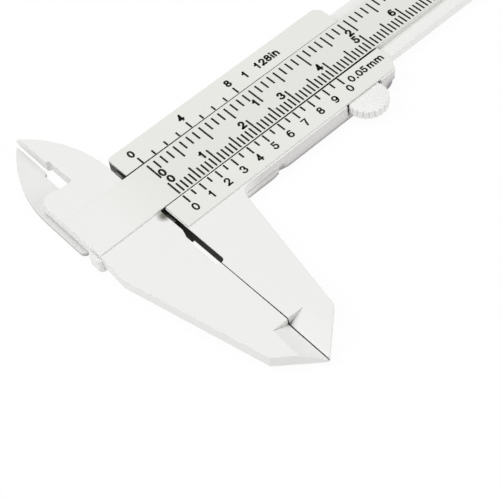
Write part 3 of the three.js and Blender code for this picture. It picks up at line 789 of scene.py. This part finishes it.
# Thumb wheel: a small plastic wheel that rolls on the lower edge of the beam. Its rim is rounded and has
# 23 grooves for the thumb, and a hub below it, bored for the axle, stands on the back cover.
WHEEL_RIDGES = 23
RIDGE_STEPS = 8
RIDGE_REACH = (0.988, 0.997, 1, 1, 1, 0.997, 0.988, 0.93)
FIRST_RIDGE = 0.745 * 360 / WHEEL_RIDGES
WHEEL_EDGE = 0.3 * MM
WHEEL_CROWN = 0.075 * MM
WHEEL_TONE = (0.852, 0.85, 0.835)
WHEEL_SHADE = (0.83, 0.828, 0.814)
WHEEL_ROUGHNESS = 0.4
WHEEL_SLOT_SKY = (0, 0.05)
WHEEL_GAP_SKY = (0, 0.08)
HUB_RADIUS = 1.8 * MM
HUB_HEIGHT = 0.5 * MM
AXLE_BORE = 0.86 * MM
BORE_DEPTH = 1.75 * MM
WHEEL_SHARP = 38
wheel_low, wheel_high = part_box("thumb_wheel")
axle_low, axle_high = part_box("wheel_axle")
wheel_centre = (axle_low + axle_high) / 2
wheel_radius = wheel_high.x - wheel_centre.x
hub_top = wheel_low.z + HUB_HEIGHT
above_hub = (wheel_centre.x, wheel_centre.y, hub_top)


def disc(name, place, radius, corners, turn=0):
    """A filled circle on an upright axis, with its place in its mesh, to draw a turned piece up from."""
    bpy.ops.object.select_all(action="DESELECT")
    bpy.ops.mesh.primitive_circle_add(
        vertices=corners, radius=radius, fill_type="NGON", location=place,
        rotation=(0, 0, math.radians(turn)),
    )
    piece = bpy.context.object
    piece.name = name
    bpy.ops.object.transform_apply(location=True, rotation=True, scale=True)
    return piece


def draw_up(height, scale=1, centre=(0, 0, 0)):
    """Extrudes what is selected by a height, and widens or narrows its end about a centre."""
    bpy.ops.mesh.extrude_region_move(TRANSFORM_OT_translate={"value": (0, 0, height)})
    if scale != 1:
        bpy.ops.transform.resize(value=(scale, scale, 1), center_override=centre)


def close_up():
    """Turns all faces of a turned piece outwards, and leaves edit mode."""
    bpy.ops.mesh.select_all(action="SELECT")
    bpy.ops.mesh.normals_make_consistent(inside=False)
    bpy.ops.object.mode_set(mode="OBJECT")


def ridge_step(corner):
    """Which step of its ridge a corner of the rim is."""
    arm = corner.co.to_2d() - wheel_centre.to_2d()
    turned = math.atan2(arm.y, arm.x) - math.radians(FIRST_RIDGE)
    return round(turned / math.tau * WHEEL_RIDGES * RIDGE_STEPS) % RIDGE_STEPS


wheel = disc(
    "thumb_wheel_rim", above_hub, wheel_radius - WHEEL_EDGE, WHEEL_RIDGES * RIDGE_STEPS, FIRST_RIDGE,
)
for step, reach in enumerate(RIDGE_REACH):
    choose(wheel, "VERT", lambda corner: ridge_step(corner) == step)
    bpy.ops.transform.resize(value=(reach, reach, 1), center_override=above_hub)
    bpy.ops.object.mode_set(mode="OBJECT")
rim_height = wheel_high.z + WHEEL_CROWN - hub_top
rounding = [(1 - math.cos(turn), math.sin(turn)) for turn in (0, math.pi / 6, math.pi / 3, math.pi / 2)]
rim = [(WHEEL_EDGE * rise, wheel_radius - WHEEL_EDGE * (1 - reach)) for rise, reach in rounding]
rim += [(rim_height - rise, radius) for rise, radius in reversed(rim)]
choose(wheel, "FACE", lambda side: True)
for (low, narrow), (high, wide) in zip(rim, rim[1:]):
    draw_up(high - low, wide / narrow, wheel_centre)
bpy.ops.object.mode_set(mode="OBJECT")
choose(wheel, "FACE", lambda side: len(side.vertices) > 4 and side.center.z < hub_top + 0.01 * MM)
draw_up(0, HUB_RADIUS / (wheel_radius - WHEEL_EDGE), wheel_centre)
draw_up(wheel_low.z - hub_top)
draw_up(0, AXLE_BORE / HUB_RADIUS, wheel_centre)
draw_up(BORE_DEPTH)
close_up()
bpy.ops.object.shade_smooth_by_angle(angle=math.radians(WHEEL_SHARP))
wheel_white = moulded_plastic(
    "wheel_white", WHEEL_TONE, WHEEL_SHADE, WHEEL_ROUGHNESS, (), WHEEL_SLOT_SKY, WHEEL_GAP_SKY,
)
dress(wheel, wheel_white, "thumb_wheel", "wheel_plastic", "thumb_wheel")


# Screws: four small countersunk screws hold the back cover to the slide and two hold the stop plate to the
# beam. They are bright steel, turned, with a cross recess pressed into the head.
SCREW_HEAD = 1.15 * MM
SCREW_SHANK = 0.6 * MM
SCREW_CONE = 0.6 * MM
SCREW_RIM = 0.1 * MM
CROSS_LONG = 1.35 * MM
CROSS_WIDE = 0.3 * MM
CROSS_DEEP = 0.32 * MM
CROSS_FLOOR = (0.72, 0.55, 1)
TIP_EDGE = 0.12 * MM
RIM_STEPS = ((0.06 * MM, 0.97), (0.04 * MM, 0.86))
STEEL_SHARP = 32
STEEL_DARK = (0.5, 0.51, 0.53)
STEEL_BRIGHT = (0.64, 0.65, 0.66)
STEEL_PATCH_SCALE = 900
STEEL_MARK_SCALE = (400, 9000, 9000)
STEEL_MARK_DEPTH = 0.006 * MM
STEEL_MARK_STRENGTH = 0.3
STEEL_ROUGHNESS = 0.22
SCREWS = (
    ("cover_screw_lower_left", "slide", 20), ("cover_screw_lower_right", "slide", 65),
    ("cover_screw_upper_left", "slide", 38), ("cover_screw_upper_right", "slide", 5),
    ("end_stop_screw_lower", "beam", 52), ("end_stop_screw_upper", "beam", 14),
)


def bright_steel():
    """Bright steel with fine marks along it and small dull patches."""
    finish, shader, place = new_finish("bright_steel")
    marks = streaks(place, STEEL_MARK_SCALE, 3)
    patches = clouds(place, STEEL_PATCH_SCALE, 2)
    ramp(patches, (0.3, STEEL_DARK), (0.75, STEEL_BRIGHT)).feed(shader, "Base Color")
    gloss = STEEL_ROUGHNESS + patches * 0.16 + marks * 0.1
    gloss.feed(shader, "Roughness")
    relief(marks, STEEL_MARK_STRENGTH, STEEL_MARK_DEPTH).feed(shader, "Normal")
    shader.inputs["Metallic"].default_value = 1
    return finish


steel = bright_steel()
for node, body, turn in SCREWS:
    low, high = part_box(node)
    middle = (low + high) / 2
    screw = disc(node + "_turned", (middle.x, middle.y, low.z + SCREW_RIM), SCREW_HEAD, 32)
    choose(screw, "FACE", lambda side: True)
    draw_up(SCREW_CONE - SCREW_RIM, SCREW_SHANK / SCREW_HEAD, middle)
    draw_up(high.z - low.z - SCREW_CONE)
    bpy.ops.mesh.bevel(offset=TIP_EDGE, segments=2, affect="EDGES")
    bpy.ops.object.mode_set(mode="OBJECT")
    choose(screw, "FACE", lambda side: len(side.vertices) > 4 and side.center.z < low.z + 2 * SCREW_RIM)
    for fall, narrowed in RIM_STEPS:
        draw_up(-fall, narrowed, middle)
    close_up()
    for quarter in (0, 90):
        bpy.ops.object.select_all(action="DESELECT")
        bpy.ops.mesh.primitive_cube_add(
            size=1, location=(middle.x, middle.y, low.z), rotation=(0, 0, math.radians(turn + quarter)),
        )
        punch = bpy.context.object
        punch.scale = (CROSS_LONG, CROSS_WIDE, 2 * CROSS_DEEP)
        bpy.ops.object.transform_apply(location=False, rotation=False, scale=True)
        choose(punch, "FACE", lambda side: side.normal.z > 0.5)
        bpy.ops.transform.resize(value=CROSS_FLOOR, center_override=middle)
        bpy.ops.object.mode_set(mode="OBJECT")
        only(screw)
        recess = screw.modifiers.new("recess", "BOOLEAN")
        recess.operation = "DIFFERENCE"
        recess.solver = "EXACT"
        recess.object = punch
        bpy.ops.object.modifier_apply(modifier=recess.name)
        only(punch)
        bpy.ops.object.delete()
    only(screw)
    bpy.ops.object.shade_smooth_by_angle(angle=math.radians(STEEL_SHARP))
    dress(screw, steel, body, "steel", node)


# Axle, rivet and spring: the wheel turns on a steel pin in the back cover, a rivet fixes the depth rod in
# the slide, and a bowed leaf in the upper half presses the slide to the beam. All are the same steel.
AXLE_EDGE = 0.1 * MM
RIVET_EDGE = 0.14 * MM
SPRING_EDGE = 0.03 * MM
for node, edge in (("wheel_axle", AXLE_EDGE), ("depth_rod_rivet", RIVET_EDGE)):
    low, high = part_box(node)
    middle = (low + high) / 2
    pin = disc(node + "_turned", (middle.x, middle.y, low.z), (high.x - low.x) / 2, 40)
    choose(pin, "FACE", lambda side: True)
    draw_up(high.z - low.z)
    bpy.ops.object.mode_set(mode="OBJECT")
    choose(pin, "FACE", lambda side: len(side.vertices) > 4)
    bpy.ops.mesh.bevel(offset=edge, segments=3, affect="EDGES")
    close_up()
    bpy.ops.object.shade_smooth_by_angle(angle=math.radians(STEEL_SHARP))
    dress(pin, steel, "slide", "steel", node)
spring = moulding("pressure_spring", "pressure_spring_leaf")
round_edges(spring, SPRING_EDGE, 2)
dress(spring, steel, "slide", "steel", "pressure_spring")


# Table: a pale plain surface under the caliper, which looks white to the camera and keeps a faint shadow.
# For other rays it glows, because a white table in a bright room lights the walls from below.
TABLE_SIZE = 6
TABLE_MIDDLE = (0.08, 0, -0.02 * MM)
TABLE_TONE = (0.9, 0.9, 0.9, 1)
TABLE_GLOW = 1.3
GLOW_SHARE = 0.5
SHADOW_TONE = (0.95, 0.95, 0.95, 1)
SHADOW_SHARE = 0.08
WHITE = (1, 1, 1, 1)


def table_top():
    """Pale and glowing in the light that it throws back, white with a little shadow where it is seen."""
    finish = bpy.data.materials.new("table_top")
    finish.use_nodes = True
    tree = finish.node_tree
    tree.nodes.clear()
    empty = Skin(tree)
    path = tree.nodes.new("ShaderNodeLightPath")
    seen = [Skin(tree, path.outputs[name]) for name in (
        "Is Camera Ray", "Is Glossy Ray", "Is Transmission Ray",
    )]
    looked_at = seen[0] + seen[1] + seen[2]
    thrown = empty.node("BsdfDiffuse", {}, {"Color": TABLE_TONE})
    glow = empty.node("Emission", {}, {"Color": WHITE, "Strength": TABLE_GLOW})
    pale = empty.node("MixShader", {}, {0: GLOW_SHARE, 1: thrown, 2: glow})
    white = empty.node("Emission", {}, {"Color": WHITE, "Strength": 1})
    shaded = empty.node("BsdfDiffuse", {}, {"Color": SHADOW_TONE})
    shown = empty.node("MixShader", {}, {0: SHADOW_SHARE, 1: white, 2: shaded})
    surface = empty.node("MixShader", {}, {0: looked_at, 1: pale, 2: shown})
    output = tree.nodes.new("ShaderNodeOutputMaterial")
    tree.links.new(surface.socket, output.inputs["Surface"])
    return finish


bpy.ops.object.select_all(action="DESELECT")
bpy.ops.mesh.primitive_plane_add(size=TABLE_SIZE, location=TABLE_MIDDLE)
table = bpy.context.object
table.name = "table"
table.data.materials.append(table_top())


# Light: an even white room, a large soft lamp beyond the inside jaws, one above and a weaker one in front.
# The room looks plain white to the camera and gives about half as much light.
ROOM_LIGHT = 0.47
LAMP_SIZE = 0.5
LAMPS_AIM = Vector((0.02, 0, 0))
LAMPS = (
    ("window_lamp", 2.6, (-0.45, 0.36, 0.62)),
    ("ceiling_lamp", 1.6, (0.15, 0.1, 0.8)),
    ("front_lamp", 1.4, (0.35, -0.6, 0.45)),
)
world = bpy.data.worlds.new("room")
bpy.context.scene.world = world
world.use_nodes = True
tree = world.node_tree
tree.nodes.clear()
room = Skin(tree)
path = tree.nodes.new("ShaderNodeLightPath")
looked_at = Skin(tree, path.outputs["Is Camera Ray"]) + Skin(tree, path.outputs["Is Transmission Ray"])
dim = room.node("Background", {}, {"Color": WHITE, "Strength": ROOM_LIGHT})
bright = room.node("Background", {}, {"Color": WHITE, "Strength": 1})
both = room.node("MixShader", {}, {0: looked_at, 1: dim, 2: bright})
output = tree.nodes.new("ShaderNodeOutputWorld")
tree.links.new(both.socket, output.inputs["Surface"])

for name, power, place in LAMPS:
    lamp_data = bpy.data.lights.new(name, "AREA")
    lamp_data.shape = "DISK"
    lamp_data.size = LAMP_SIZE
    lamp_data.energy = power
    lamp = bpy.data.objects.new(name, lamp_data)
    bpy.context.scene.collection.objects.link(lamp)
    lamp.location = place
    lamp.rotation_euler = (LAMPS_AIM - lamp.location).to_track_quat("-Z", "Y").to_euler()


# Camera: it stands where the photo was taken from, above the left end and in front. Its place, turn and
# focal length were fitted to the lines of the scales in the photo.
CAMERA_PLACE = (-0.083687, -0.137694, 0.195417)
CAMERA_TURN = (36.2687, 4.775, -42.717)
SENSOR_WIDTH = 36
FOCAL_LENGTH = 98.806
camera_data = bpy.data.cameras.new("camera")
camera_data.sensor_width = SENSOR_WIDTH
camera_data.lens = FOCAL_LENGTH
camera_data.clip_start = 0.01
camera_data.clip_end = 20
camera = bpy.data.objects.new("camera", camera_data)
bpy.context.scene.collection.objects.link(camera)
camera.location = CAMERA_PLACE
camera.rotation_euler = [math.radians(turn) for turn in CAMERA_TURN]
bpy.context.scene.camera = camera
bpy.context.scene.view_settings.view_transform = "Standard"
